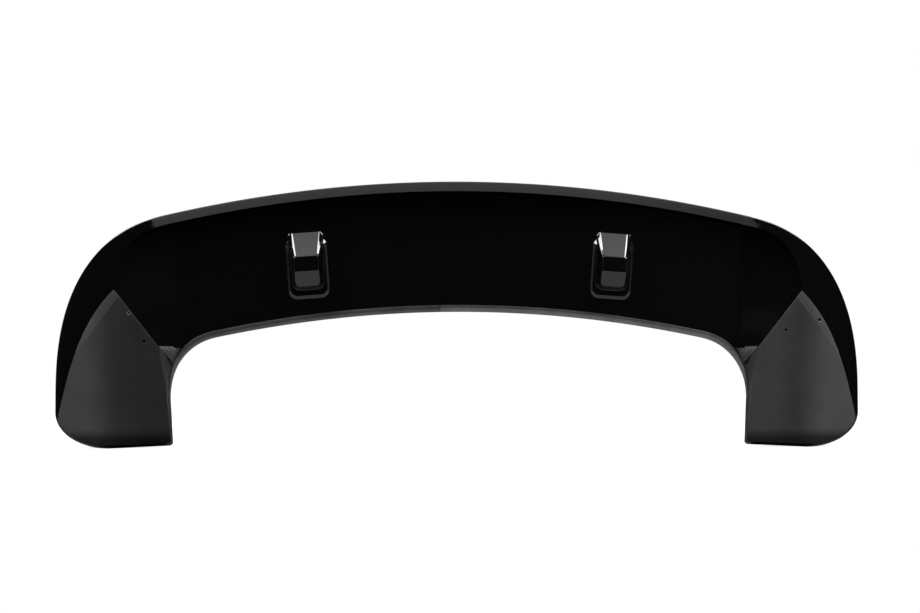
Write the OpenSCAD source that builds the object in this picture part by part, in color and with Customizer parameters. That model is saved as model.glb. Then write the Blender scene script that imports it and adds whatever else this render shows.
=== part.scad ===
// Roof spoiler with two side arms, drawn in millimetres.
// X runs across the car, Y runs rearward from the seat plane and Z runs up from the arm ends.
// The seat plane Y = 0 is where the foot plates and the two bosses meet the tailgate.

/* [Overall] */

// Width over both arms
span = 1250; // [1100:10:1400]
// Height from the arm ends to the top of the crown
height = 415; // [390:5:460]
// How far the trailing edge stands behind the seat plane
trail_depth = 150; // [110:5:240]
// Wall of the outer skin
skin = 3; // [2.5:0.25:3.5]

/* [Outer outline] */

// Drop of the crown's arc from the middle to the full half width
crown_drop = 100; // [60:5:130]
// Width of the turned shoulder
shoulder_w = 173; // [140:1:220]
// Height of the turned shoulder
shoulder_height = 235.5; // [200:0.5:250]
// Squareness of the shoulder, 2 is an ellipse
shoulder_power = 2.6; // [2:0.1:4]
// Width of the rounding at the lower outer corner of an arm
toe_round_x = 81.5; // [40:0.5:100]
// Height of the rounding at the lower outer corner of an arm
toe_round_z = 55.5; // [40:0.5:68]

// How far the inner corner of an arm's end lies above the outer one
toe_lift = 4.3; // [0:0.1:8]

/* [Window arch] */

// Height of the arch edge in the middle
arch_top = 211.8; // [195:0.1:225]
// Drop of the arch from the middle to its corners
arch_drop = 56.8; // [40:0.1:75]
// Width of an arm where its inner edge is straight
arm_w = 171.3; // [140:0.1:200]
// How much wider an arm is at its end
toe_spread = 6.7; // [0:0.1:12]
// Width of the corner of the arch
arch_corner_w = 73.7; // [50:0.1:110]
// Height of the corner of the arch
arch_corner_height = 79; // [60:0.2:80]
// Squareness of the corner of the arch
arch_power = 2.3; // [2:0.1:3]

/* [Section] */

// Depth of the arch flange behind the seat plane
recess = 31; // [26:1:40]
// Depth of the arch edge at the top of an arm
arm_recess = 27; // [22:1:34]
// Depth of the arch edge at the end of an arm
toe_recess = 10; // [9:0.5:14]
// Height of the folded arch edge in the middle
fold_edge = 7; // [6:0.5:9]
// Height of the folded arch edge at the arm ends
fold_edge_toe = 3; // [3:0.5:5]
// Place of the trailing edge, as a share of the section's height
trail_share = 0.89; // [0.8:0.01:0.93]
// Solid height at the end of an arm
toe_solid = 12; // [8:1:16]

/* [Rim] */

// Setback of the rim behind the seat plane
rim_setback = 4; // [3:0.5:5]
// Width of the rim along the crown
rim_width = 15; // [12:1:20]
// Width of the rim where it reaches the foot plate
rim_at_foot = 58; // [50:1:64]
// Edge of skin left showing round the foot plate
skin_edge = 3.5; // [3:0.5:6]
// How far the rim reaches under the foot plate
tuck = 8; // [6:1:12]

/* [Inner panel] */

// Wall of the inner panel
panel_wall = 3; // [2.5:0.25:3.5]
// Width of the panel's fold that comes forward to the foot plate's inner corner
fold_run = 22.5; // [18:0.5:32]
// Distance from the arch edge at which the panel's face has become flat
panel_flat = 26; // [20:1:34]
// Width of the shell's flange behind the panel's lower edge
flange_w = 14; // [10:1:20]
// Gap between the edge trim and the panel
panel_gap = 0.5; // [0.3:0.1:1]

/* [Bosses] */

// Half distance between the two bosses
boss_half = 240; // [200:1:280]
// Least distance from a boss's plinth to the edge trim
boss_clear = 6; // [4:0.5:12]
// Place of a boss between its lowest and its highest place, as a share
boss_share = 0.248; // [0:0.001:1]
// Turn of a boss, which follows the arch
boss_tilt = 4.1; // [0:0.1:8]
// Width of the plinth under a boss
plinth_w = 65; // [64:0.5:76]
// Height of the plinth under a boss
plinth_h = 101; // [98:0.5:110]
// Corner radius of the plinth
plinth_round = 14; // [8:1:20]
// Step of the plinth above the panel
plinth_step = 2.5; // [1.5:0.5:4]
// Width of a boss at its foot
boss_w = 58; // [50:1:60]
// Height of a boss at its foot
boss_h = 94; // [88:1:97]
// Width of the seat pad on a boss
pad_w = 38; // [28:1:42]
// Height of the seat pad on a boss
pad_h = 21; // [16:1:26]
// Height of the seat pad's middle above the middle of the boss
pad_rise = 5; // [0:0.5:10]
// Setback of the boss's lower shoulder from the seat plane
shoulder_setback = 8; // [4:1:12]
// Distance from the middle of the boss down to its lower shoulder
shoulder_down = 32; // [26:1:36]
// Wall of a boss
boss_wall = 2.5; // [2:0.25:3]

/* [Foot plates] */

// Thickness of a foot plate, which fills the rim's setback
plate = 4; // [3:0.5:5]
// Turn of the arch corner at which the plate's top edge starts
foot_turn_in = 56.5; // [50:0.5:62]
// Turn of the outer shoulder at which the plate's top edge ends
foot_turn_out = 38.5; // [34:0.5:46]
// Distance from the arch edge to the plate's inner upper corner
foot_corner = 38; // [32:1:44]
// Height of the plate's lower edge
foot_bottom = 4; // [3:0.5:10]
// Height at which the plate's outer edge comes closest to the skin
heel_z = 43; // [30:1:60]
// Tilt of the plate's outer field
crease_tilt = 1.6; // [0:0.1:2]
// Share of the plate's width at which the crease starts, at its top edge
crease_share = 0.62; // [0.4:0.01:0.8]
// Height of the crease's lower end
crease_foot = 28; // [10:1:60]
// Width of the bevel along the plate's outer upper edge
bevel_w = 12; // [6:1:18]
// Tilt of that bevel
bevel_tilt = 11; // [5:1:14]
// Left plate, upper hole: share along the plate's top edge
left_upper_share = 0.62; // [0.3:0.01:0.8]
// Left plate, upper hole: distance in from that edge
left_upper_in = 4; // [4:0.5:20]
// Left plate, lower hole: share along the top edge
left_lower_share = 0.19; // [0.1:0.01:0.6]
// Left plate, lower hole: distance in from that edge
left_lower_in = 12; // [4:0.5:40]
// Right plate, inner hole: share along the top edge
right_inner_share = 0.43; // [0.1:0.01:0.7]
// Right plate, inner hole: distance in from that edge
right_inner_in = 17.5; // [4:0.5:40]
// Right plate, outer hole: share along the top edge
right_outer_share = 0.83; // [0.5:0.01:1]
// Right plate, outer hole: distance in from that edge
right_outer_in = 50; // [20:0.5:60]
// Diameter of the small drilled holes
hole_d = 4; // [3:0.5:6]
// Diameter of the larger drilled hole, on the right plate only
big_hole_d = 5; // [4:0.5:7]

/* [Edge trim] */

// Width of the trim
trim_w = 11.5; // [9:0.5:14]
// Height of the trim along the crown
trim_h = 4; // [3:0.5:5]
// Height of the trim on the arms
trim_h_arm = 2.5; // [2:0.5:3.5]
// Turn of the arch corner at which the trim starts to turn onto the wall
trim_turn_start = 25; // [15:1:35]
// Turn of the arch corner at which the trim lies on the wall
trim_turn_end = 85; // [75:1:90]
// Place of the butt joint, measured from the middle
seam_x = -32; // [-60:1:-10]
// Gap at the butt joint
seam_gap = 1; // [0.5:0.5:2]
// Crest of the left trim's profile, as a share of its width
crest_left = 0.36; // [0.2:0.02:0.8]
// Crest of the right trim's profile, as a share of its width
crest_right = 0.6; // [0.2:0.02:0.8]

/* [Hidden] */

$fn = 48;
half = span / 2;
arch_half = half - arm_w;
arch_toe_half = arch_half - toe_spread;
arch_corner_start = arch_half - arch_corner_w;
shoulder_start = half - shoulder_w;
shelf_y = rim_setback + skin;
panel_y = recess - panel_wall;
arm_in_top = arch_top - arch_drop - arch_corner_height;
arm_out_top = height - crown_drop - shoulder_height;
toe_z = min(toe_round_z, arm_in_top - 5, arm_out_top - 5);
crown_steps = 8;
corner_steps = 8;
foot_steps = 7;
toe_steps = 9;

// Small helpers: a smooth step, a straight blend, a clamped share and a bent line through three points.
function ease(t) = t * t * (3 - 2 * t);
function mix(a, b, t) = a + (b - a) * t;
function share(v, a, b) = min(1, max(0, (v - a) / (b - a)));
function bend(a, b, c, t) = a * pow(1 - t, 2) + b * 2 * t * (1 - t) + c * pow(t, 2);
function unit(v) = v / norm(v);
function turned(list) = [for (i = [len(list) - 1 : -1 : 0]) list[i]];

// A station is [region, share]. The regions run from the middle to the arm end:
// 0 crown, 1 corner above the foot plate, 2 corner beside it, 3 straight arm, 4 rounded toe.
crown_st = [for (j = [0 : crown_steps]) [0, j / crown_steps]];
corner_st = [for (j = [1 : corner_steps]) [1, j / corner_steps]];
foot_st = concat([[2, 0.04]], [for (j = [1 : foot_steps]) [2, j / foot_steps]]);
arm_st = concat([[3, 0.5]], [for (j = [0 : toe_steps]) [4, j / toe_steps]]);
shell_st = concat(crown_st, corner_st, foot_st, arm_st);
panel_st = concat(crown_st, corner_st);

function turn_in(s) = s[0] == 1 ? s[1] * foot_turn_in : mix(foot_turn_in, 90, s[1]);
function turn_out(s) = s[0] == 1 ? s[1] * foot_turn_out : mix(foot_turn_out, 90, s[1]);
function arch_arc(x) = arch_top - arch_drop * pow(x / arch_half, 2);
function crown_arc(x) = height - crown_drop * pow(x / half, 2);
function arm_x(z) = mix(arch_toe_half, arch_half, pow(max(0, z) / arm_in_top, 1.2));
function toe_turn(s) = s[0] == 4 ? 90 * s[1] : 0;

// The arch edge and the outer outline, each as [x, z].
function in_pt(s) =
  s[0] == 0 ? [s[1] * arch_corner_start, arch_arc(s[1] * arch_corner_start)]
  : s[0] < 3 ? let (x = mix(arch_corner_start, arch_half, pow(sin(turn_in(s)), 2 / arch_power)))
      [x, arch_arc(x) - arch_corner_height * (1 - pow(cos(turn_in(s)), 2 / arch_power))]
  : let (z = s[0] == 3 ? mix(arm_in_top, toe_z, s[1]) : mix(toe_z, toe_lift, sin(toe_turn(s))))
      [arm_x(z), z];
function out_pt(s) =
  s[0] == 0 ? [s[1] * shoulder_start, crown_arc(s[1] * shoulder_start)]
  : s[0] < 3 ? let (x = mix(shoulder_start, half, pow(sin(turn_out(s)), 2 / shoulder_power)))
      [x, crown_arc(x) - shoulder_height * (1 - pow(cos(turn_out(s)), 2 / shoulder_power))]
  : s[0] == 3 ? [half, mix(arm_out_top, toe_z, s[1])]
  : [half - toe_round_x * (1 - cos(toe_turn(s))), toe_z * (1 - sin(toe_turn(s)))];
function st_dir(s) = unit(out_pt(s) - in_pt(s));
function st_w(s) = norm(out_pt(s) - in_pt(s));

// The foot plate's top line, from its inner upper corner to its apex.
foot_line = [1, 1];
foot_in = in_pt(foot_line) + foot_corner * st_dir(foot_line);
foot_apex = out_pt(foot_line) - rim_at_foot * st_dir(foot_line);
fold_half = foot_in[0] - fold_run;
function line_x(z) =
  z > foot_apex[1] ? foot_apex[0] + 0.8 * (z - foot_apex[1])
  : mix(foot_in[0], foot_apex[0], share(z, foot_in[1], foot_apex[1]));

// How far a station is along the half, and the depths there.
starts = [0, 0.35, 0.55, 0.75, 0.8];
spans = [0.35, 0.2, 0.2, 0.05, 0.2];
function along(s) = starts[s[0]] + spans[s[0]] * s[1];
function edge_y(s) =
  s[0] < 2 ? recess
  : s[0] == 2 ? mix(recess, arm_recess, ease(s[1]))
  : mix(toe_recess, arm_recess, in_pt(s)[1] / arm_in_top);
function fold_h(s) = mix(fold_edge, fold_edge_toe, ease(along(s)));
function fade(s) = 0.5 + 0.5 * cos(180 * pow(along(s), 1.25));
function deep(s) =
  edge_y(s) + fold_h(s) + 1 + (trail_depth - recess - fold_edge - 1) * fade(s);

// Where the trim lies: flat on the flange along the crown, turned onto the wall on the arms.
function trim_turn(s) =
  s[0] == 0 ? 0 : s[0] > 2 ? 90 : 90 * ease(share(turn_in(s), trim_turn_start, trim_turn_end));
function trim_dir(s) = [cos(trim_turn(s)), -sin(trim_turn(s))];
function trim_out(s) = [-sin(trim_turn(s)), -cos(trim_turn(s))];
function trim_width(s) = min(trim_w, edge_y(s) - rim_setback - 0.5);
function trim_height(s) = mix(trim_h, trim_h_arm, trim_turn(s) / 90);

// The rim's inner border, as a distance in from the outer outline.
function edge_line(z) =
  skin_edge + (rim_at_foot - skin_edge) * max(0, (z - heel_z) / (out_pt(foot_line)[1] - heel_z));
function rim_w(s) =
  s[0] == 0 ? rim_width
  : s[0] == 1 ? mix(rim_width, rim_at_foot, pow(s[1], 2.5))
  : edge_line(out_pt(s)[1]) / max(0.25, cos(toe_turn(s)));

// The panel's front face, as a depth at a distance r from the arch edge.
function face_y(x, z) = panel_y - (panel_y - shelf_y) * share(x, fold_half, line_x(z));
function at(s, r) = in_pt(s) + r * st_dir(s);
function corner(s) = s[0] == 0 ? 0 : s[1];
function panel_start(s) =
  [0, edge_y(s)] + (trim_w + panel_gap + 2 * corner(s)) * trim_dir(s)
    + (panel_wall + corner(s)) * trim_out(s);
function panel_reach(s) = s[0] == 0 ? panel_flat : mix(panel_flat, foot_corner, s[1]);
function panel_front(s, r) =
  let (p = at(s, r), q = panel_start(s), a = at(s, q[0]))
  face_y(p[0], p[1]) + (q[1] - face_y(a[0], a[1])) * (1 - share(r, q[0], panel_reach(s)));
function panel_back(s, r) =
  let (slope = (panel_front(s, r + 1) - panel_front(s, r - 1)) / 2)
  panel_front(s, r) + panel_wall * sqrt(1 + slope * slope) + 3.3 * corner(s);

// Sections of the outer skin, as [r, y] points from the flange round the back to the rim.
function lip(s) = foot_corner * pow(1 - (s[0] == 2 ? s[1] : 1), 2.4);
function flange(s) =
  let (f = [0, edge_y(s)] + trim_w * trim_dir(s))
  s[0] < 2 ? [for (k = [1, 0.5, 0]) k == 0 ? f : [f[0] + k * flange_w, panel_back(s, f[0] + k * flange_w)]]
  : [[lip(s) + tuck, rim_setback], [lip(s), rim_setback],
     [f[0], max(f[1], rim_setback + skin + 0.5)]];
function back_skin(s) =
  let (w = st_w(s), d = deep(s), k = ease(share(along(s), 0.3, 0.75)),
       a = [0, edge_y(s) + fold_h(s)],
       b = [mix(0.5, 0.1, k) * w, mix(mix(a[1], d, 0.45), d, k)],
       c = [mix(trail_share, 0.5, k) * w, d],
       e = [0.97 * w, mix(0.5, 1, k) * d],
       g = [w, shelf_y])
  concat([[0, edge_y(s)], a],
         [for (i = [1 : 7]) bend(a, b, c, i / 7)],
         [for (i = [1 : 6]) bend(c, e, g, i / 6)]);
function rim(s) =
  let (w = st_w(s), under = s[0] < 2 ? 0 : tuck)
  [[w - 0.3 * skin, rim_setback + 0.3 * skin], [w - skin, rim_setback],
   [w - rim_w(s) - under, rim_setback]];
function skin_pts(s) = concat(flange(s), back_skin(s), rim(s));

// Sections of the panel, from the trim up to the flange behind the rim.
function panel_pts(s) =
  let (q = panel_start(s), top = st_w(s) - rim_w(s) + 2, d = st_dir(s),
       f = max(q[0] + 3, min(top - 3, d[0] < 0.01 ? top : (fold_half - in_pt(s)[0]) / d[0])))
  concat([for (i = [0 : 3]) let (r = mix(q[0], f, i / 3)) [r, panel_front(s, r)]],
         [for (i = [1 : 4]) let (r = mix(f, top, i / 4)) [r, panel_front(s, r)]],
         [[top + 1.5, shelf_y], [top + 7, shelf_y]]);

// A line moved sideways by t, to its right as it runs.
function inset(p, t) =
  [for (i = [0 : len(p) - 1])
    let (a = i > 0 ? unit(p[i] - p[i - 1]) : unit(p[1] - p[0]),
         b = i < len(p) - 1 ? unit(p[i + 1] - p[i]) : a,
         m = [a[1], -a[0]], n = [b[1], -b[0]])
    p[i] + t * (m + n) / max(0.4, 1 + m * n)];

// Section points placed in the part, with the toe's inside kept above its solid end.
function place(s, p, side, lift) =
  let (q = at(s, p[0]))
  [side * q[0], p[1], q[1] + (s[0] == 4 ? lift * pow(sin(toe_turn(s)), 2) : 0)];
function wall_loop(s, p, t, side, lift) =
  concat([for (a = p) place(s, a, side, 0)], [for (a = turned(inset(p, t))) place(s, a, side, lift)]);

// Triangles between closed loops of m points, mirrored about the loop numbered mid.
function loft_faces(n, m, mid) =
  [for (j = [0 : n - 2], i = [0 : m - 1], h = [0, 1])
    let (a = j * m + i, b = j * m + (i + 1) % m, c = b + m, d = a + m)
    j < mid ? (h == 0 ? [d, b, a] : [d, c, b]) : (h == 0 ? [c, b, a] : [d, c, a])];
// End faces of a thin wall, as a chain of small quadrangles.
function thin_end(base, m, first) =
  [for (i = [0 : m / 2 - 2])
    let (f = [base + i, base + i + 1, base + m - 2 - i, base + m - 1 - i])
    first ? f : turned(f)];
// End faces of a hollow toe: the outside, the floor inside and the edge between them.
// Both large faces start at the crest of the section, from where every other corner can be seen.
crest_i = 11;
function toe_end(base, m, first) =
  let (n = m / 2,
       fs = [[for (i = [0 : n - 1]) base + (i + crest_i) % n],
             [for (i = [0 : n - 1]) base + n + (i + n - 1 - crest_i) % n],
             [base, base + n - 1, base + n, base + m - 1]])
  first ? fs : [for (f = fs) turned(f)];

// Closed loops joined to a solid. The inner panel is a plain thin wall, so its loops run the other way.
module both_sides(loops, closed_toe) {
  m = len(loops[0]);
  n = len(loops);
  base = (n - 1) * m;
  ends = closed_toe
    ? concat(toe_end(0, m, true), toe_end(base, m, false))
    : concat(thin_end(0, m, true), thin_end(base, m, false));
  faces = concat(loft_faces(n, m, (n - 1) / 2), ends);
  polyhedron(points = [for (l = loops, p = l) p],
             faces = closed_toe ? faces : [for (f = faces) turned(f)], convexity = 8);
}

module peg(x, z, y0, y1, r) {
  translate([x, y1, z]) rotate([90, 0, 0]) cylinder(h = y1 - y0, r = r, $fn = 24);
}

// A rounded slab that is exact: two boxes and four corner cylinders.
module slab(w, h, y0, y1, r) {
  translate([-w / 2 + r, y0, -h / 2]) cube([w - 2 * r, y1 - y0, h]);
  translate([-w / 2, y0, -h / 2 + r]) cube([w, y1 - y0, h - 2 * r]);
  for (sx = [-1, 1], sz = [-1, 1])
    translate([sx * (w / 2 - r), y1, sz * (h / 2 - r)])
      rotate([90, 0, 0]) cylinder(h = y1 - y0, r = r);
}

// The wedge of a boss. A positive cut gives the hollow behind it.
module boss_form(cut) {
  foot_r = 12;
  top_r = 3.5;
  y_foot = panel_y - plinth_step - 1.5;
  y_back = cut > 0 ? panel_y + panel_wall + 1 : panel_y + 1;
  hull() {
    for (sx = [-1, 1], sz = [-1, 1]) {
      peg(sx * (boss_w / 2 - foot_r), sz * (boss_h / 2 - foot_r), y_foot + cut, y_back, foot_r - cut);
      peg(sx * (pad_w / 2 - top_r), pad_rise + sz * (pad_h / 2 - top_r), cut, cut + 1, top_r - cut);
    }
    for (sx = [-1, 1])
      peg(sx * (pad_w / 2 - top_r), top_r - shoulder_down, shoulder_setback + cut,
          shoulder_setback + cut + 1, top_r - cut);
  }
}

boss_z = mix(arch_arc(boss_half) + trim_w + boss_clear + plinth_h / 2,
             crown_arc(boss_half) - rim_width - plinth_h / 2, boss_share);
module on_boss(side) {
  translate([side * boss_half, 0, boss_z]) rotate([0, side * boss_tilt, 0]) children();
}

module outer_shell() {
  left = [for (s = turned(shell_st)) if (s != [0, 0]) wall_loop(s, skin_pts(s), skin, -1, toe_solid)];
  right = [for (s = shell_st) wall_loop(s, skin_pts(s), skin, 1, toe_solid)];
  color([0.03, 0.03, 0.035]) both_sides(concat(left, right), true);
}

module inner_panel() {
  left = [for (s = turned(panel_st)) if (s != [0, 0]) wall_loop(s, panel_pts(s), -panel_wall, -1, 0)];
  right = [for (s = panel_st) wall_loop(s, panel_pts(s), -panel_wall, 1, 0)];
  color([0.05, 0.05, 0.055])
    difference() {
      union() {
        both_sides(concat(left, right), false);
        for (side = [-1, 1])
          on_boss(side) {
            slab(plinth_w, plinth_h, panel_y - plinth_step, panel_y + 1, plinth_round);
            boss_form(0);
          }
      }
      for (side = [-1, 1])
        on_boss(side) boss_form(boss_wall);
    }
}

// The plate's outline on the right side: down its inner edge, round the toe and up its outer edge.
plate_st = concat([[2, 0]], [for (j = [1 : foot_steps]) [2, j / foot_steps]], arm_st);
function plate_in(s) = at(s, lip(s));
function plate_out(s) =
  s[0] < 4 ? out_pt(s) - rim_w(s) * st_dir(s)
  : let (n = unit([toe_z * cos(toe_turn(s)), -toe_round_x * sin(toe_turn(s))]))
    out_pt(s) - edge_line(out_pt(s)[1]) * n;
plate_outline = concat(
  [for (s = plate_st) if (plate_in(s)[1] > foot_bottom + toe_lift + plate / 2) plate_in(s)],
  [[arm_x(foot_bottom + toe_lift), foot_bottom + toe_lift]],
  [for (s = turned(plate_st)) if (plate_out(s)[1] > foot_bottom) plate_out(s)]);
toe_corner = [for (s = turned(plate_st)) if (plate_out(s)[1] > foot_bottom) plate_out(s)][0];

crease_top = mix(foot_in, foot_apex, 1.1 * crease_share + 0.3);
crease_low = [mix(arm_x(0), half, 0.395), crease_foot];
bevel_from = foot_apex;
bevel_to = plate_out([2, 3 / foot_steps]);

// A large block with its rear face at Y = 0, which planes the front of the plate down.
module planer() {
  translate([0, -height, -height]) cube([height, height, 2 * height]);
}

module foot_plate() {
  run = crease_top - crease_low;
  bevel_run = bevel_to - bevel_from;
  difference() {
    translate([0, plate, 0]) rotate([90, 0, 0]) linear_extrude(height = plate) polygon(plate_outline);
    translate([crease_low[0], 0, crease_low[1]])
      rotate([0, atan2(run[0], run[1]), 0])
        rotate([0, 0, crease_tilt]) planer();
    translate([bevel_from[0], 0, bevel_from[1]])
      rotate([0, atan2(bevel_run[0], bevel_run[1]) - 180, 0])
        translate([-bevel_w, 0, 0]) rotate([0, 0, bevel_tilt]) planer();
  }
}

function hole_at(along_top, inward) =
  let (u = unit(foot_apex - foot_in)) mix(foot_in, foot_apex, along_top) + inward * [u[1], -u[0]];
module drill(side, along_top, inward, d) {
  p = hole_at(along_top, inward);
  translate([side * p[0], 2 * plate, p[1]]) rotate([90, 0, 0]) cylinder(h = 3 * plate, d = d);
}

module foot_plate_left() {
  color([0.14, 0.14, 0.145])
    difference() {
      mirror([1, 0, 0]) foot_plate();
      drill(-1, left_upper_share, left_upper_in, hole_d);
      drill(-1, left_lower_share, left_lower_in, hole_d);
    }
}

module foot_plate_right() {
  color([0.14, 0.14, 0.145])
    difference() {
      foot_plate();
      drill(1, right_inner_share, right_inner_in, hole_d);
      drill(1, right_outer_share, right_outer_in, big_hole_d);
    }
}

// The trim's profile lies on the line from the arch edge, and crest sets where it is highest.
function trim_loop(s, crest, side) =
  let (w = trim_width(s), h = trim_height(s), e = [0, edge_y(s)], f = trim_dir(s), o = trim_out(s))
  [for (a = [[0, 0], [0, 0.3], [crest * 0.45, 0.85], [crest, 1], [(1 + crest) / 2, 0.9],
             [0.95, 0.65], [1, 0.25], [1, 0]])
    place(s, e + a[0] * w * f + a[1] * h * o, side, 0)];

module trim(loops) {
  m = len(loops[0]);
  n = len(loops);
  polyhedron(points = [for (l = loops, p = l) p],
             faces = concat([for (f = loft_faces(n, m, 0)) turned(f)],
                            [[for (i = [m - 1 : -1 : 0]) i], [for (i = [0 : m - 1]) (n - 1) * m + i]]),
             convexity = 6);
}

function seam_st(x) = [0, x / arch_corner_start];

module edge_trim_left() {
  color([0.26, 0.26, 0.27])
    mirror([1, 0, 0])
      trim([for (s = concat([seam_st(seam_gap / 2 - seam_x)],
                            [for (s = shell_st) if (s[0] > 0 || s[1] * arch_corner_start > 8 - seam_x) s]))
        trim_loop(s, crest_left, 1)]);
}

module edge_trim_right() {
  color([0.26, 0.26, 0.27])
    trim(concat([trim_loop(seam_st(-seam_x - seam_gap / 2), crest_right, -1)],
                [for (s = shell_st) trim_loop(s, crest_right, 1)]));
}

outer_shell();
inner_panel();
foot_plate_left();
foot_plate_right();
edge_trim_left();
edge_trim_right();
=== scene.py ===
"""Looks of the roof spoiler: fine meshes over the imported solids, their finishes, floor, lamps and camera."""

import math

import bmesh
import bpy
import numpy as np
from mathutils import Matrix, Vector, geometry


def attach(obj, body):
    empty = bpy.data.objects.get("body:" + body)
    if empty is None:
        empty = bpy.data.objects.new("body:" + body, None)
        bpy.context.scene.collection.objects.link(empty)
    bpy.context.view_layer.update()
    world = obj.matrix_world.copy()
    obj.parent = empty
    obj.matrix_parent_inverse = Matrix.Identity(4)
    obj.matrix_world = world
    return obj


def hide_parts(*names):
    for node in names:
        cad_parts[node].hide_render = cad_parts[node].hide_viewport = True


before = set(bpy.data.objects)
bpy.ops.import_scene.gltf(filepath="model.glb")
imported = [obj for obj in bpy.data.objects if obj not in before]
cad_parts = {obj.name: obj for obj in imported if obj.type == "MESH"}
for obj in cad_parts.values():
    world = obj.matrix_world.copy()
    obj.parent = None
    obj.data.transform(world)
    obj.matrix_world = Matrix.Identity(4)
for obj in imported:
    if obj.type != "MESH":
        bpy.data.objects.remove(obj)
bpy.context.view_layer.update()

MM = 0.001

# Sizes, in millimetres, as in the CAD.
SPAN, HEIGHT, TRAIL_DEPTH, SKIN = 1250.0, 415.0, 150.0, 3.0
CROWN_DROP, SHOULDER_W, SHOULDER_H, SHOULDER_P = 100.0, 173.0, 235.5, 2.6
TOE_X, TOE_ROUND_Z, TOE_LIFT, TOE_CORNER = 81.5, 55.5, 4.3, 5.0
ARCH_TOP, ARCH_DROP, ARM_W, TOE_SPREAD = 211.8, 56.8, 171.3, 6.7
CORNER_W, CORNER_H, ARCH_P = 73.7, 79.0, 2.3
RECESS, ARM_RECESS, TOE_RECESS = 31.0, 27.0, 10.0
FOLD_EDGE, FOLD_EDGE_TOE, TRAIL_SHARE, TOE_SOLID = 7.0, 3.0, 0.89, 12.0
RIM_SETBACK, RIM_WIDTH, RIM_AT_FOOT, SKIN_EDGE, TUCK = 4.0, 15.0, 58.0, 3.5, 8.0
PANEL_WALL, FOLD_RUN, PANEL_FLAT, FLANGE_W, PANEL_GAP = 3.0, 22.5, 26.0, 14.0, 0.5
BOSS_HALF, BOSS_CLEAR, BOSS_SHARE, BOSS_TILT = 240.0, 6.0, 0.248, 4.1
PLINTH_W, PLINTH_H, PLINTH_ROUND, PLINTH_STEP = 65.0, 101.0, 14.0, 2.5
BOSS_W, PAD_W, PAD_H, PAD_RISE = 58.0, 38.0, 21.0, 5.0
SHOULDER_SETBACK, SHOULDER_DOWN = 8.0, 32.0
PLATE, FOOT_TURN_IN, FOOT_TURN_OUT, FOOT_CORNER = 4.0, 56.5, 38.5, 38.0
FOOT_BOTTOM, HEEL_Z, CREASE_TILT, CREASE_SHARE, CREASE_FOOT = 4.0, 43.0, 1.6, 0.62, 28.0
BEVEL_W, BEVEL_TILT = 12.0, 11.0
HOLES_LEFT = ((0.62, 4.0, 4.0), (0.19, 12.0, 4.0))
HOLES_RIGHT = ((0.43, 17.5, 4.0), (0.83, 50.0, 5.0))
TRIM_W, TRIM_H, TRIM_H_ARM, TRIM_TURN_0, TRIM_TURN_1 = 11.5, 4.0, 2.5, 25.0, 85.0
SEAM_X, SEAM_GAP, CREST_LEFT, CREST_RIGHT = -32.0, 1.0, 0.36, 0.60

HALF = SPAN / 2
ARCH_HALF = HALF - ARM_W
ARCH_TOE_HALF = ARCH_HALF - TOE_SPREAD
ARCH_CORNER_START = ARCH_HALF - CORNER_W
SHOULDER_START = HALF - SHOULDER_W
SHELF_Y = RIM_SETBACK + SKIN
PANEL_Y = RECESS - PANEL_WALL
ARM_IN_TOP = ARCH_TOP - ARCH_DROP - CORNER_H
ARM_OUT_TOP = HEIGHT - CROWN_DROP - SHOULDER_H
TOE_Z = min(TOE_ROUND_Z, ARM_IN_TOP - 5, ARM_OUT_TOP - 5)


def sind(a):
    return math.sin(math.radians(a))


def cosd(a):
    return math.cos(math.radians(a))


def ease(t):
    return t * t * (3 - 2 * t)


def mix(a, b, t):
    return a + (b - a) * t


def share(v, a, b):
    return min(1.0, max(0.0, (v - a) / (b - a)))


def bend(a, b, c, t):
    return a * (1 - t) ** 2 + b * 2 * t * (1 - t) + c * t * t


def unit(v):
    return v / np.linalg.norm(v)


# The section plan, as in the CAD.
def turn_in(s):
    return s[1] * FOOT_TURN_IN if s[0] == 1 else mix(FOOT_TURN_IN, 90, s[1])


def turn_out(s):
    return s[1] * FOOT_TURN_OUT if s[0] == 1 else mix(FOOT_TURN_OUT, 90, s[1])


def arch_arc(x):
    return ARCH_TOP - ARCH_DROP * (x / ARCH_HALF) ** 2


def crown_arc(x):
    return HEIGHT - CROWN_DROP * (x / HALF) ** 2


def arm_x(z):
    return mix(ARCH_TOE_HALF, ARCH_HALF, (max(0.0, z) / ARM_IN_TOP) ** 1.2)


def toe_turn(s):
    return 90 * s[1] if s[0] == 4 else 0.0


def in_pt(s):
    if s[0] == 0:
        x = s[1] * ARCH_CORNER_START
        return np.array((x, arch_arc(x)))
    if s[0] < 3:
        a = turn_in(s)
        x = mix(ARCH_CORNER_START, ARCH_HALF, max(0.0, sind(a)) ** (2 / ARCH_P))
        return np.array((x, arch_arc(x) - CORNER_H * (1 - max(0.0, cosd(a)) ** (2 / ARCH_P))))
    z = mix(ARM_IN_TOP, TOE_Z, s[1]) if s[0] == 3 else mix(TOE_Z, TOE_LIFT, sind(toe_turn(s)))
    low = share(z, TOE_LIFT + TOE_CORNER, TOE_LIFT)
    return np.array((arm_x(z) + TOE_CORNER * (1 - math.sqrt(1 - low * low)), z))


def out_pt(s):
    if s[0] == 0:
        x = s[1] * SHOULDER_START
        return np.array((x, crown_arc(x)))
    if s[0] < 3:
        a = turn_out(s)
        x = mix(SHOULDER_START, HALF, max(0.0, sind(a)) ** (2 / SHOULDER_P))
        return np.array((x, crown_arc(x) - SHOULDER_H * (1 - max(0.0, cosd(a)) ** (2 / SHOULDER_P))))
    if s[0] == 3:
        return np.array((HALF, mix(ARM_OUT_TOP, TOE_Z, s[1])))
    a = toe_turn(s)
    return np.array((HALF - TOE_X * (1 - cosd(a)), TOE_Z * (1 - sind(a))))


def st_dir(s):
    return unit(out_pt(s) - in_pt(s))


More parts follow.
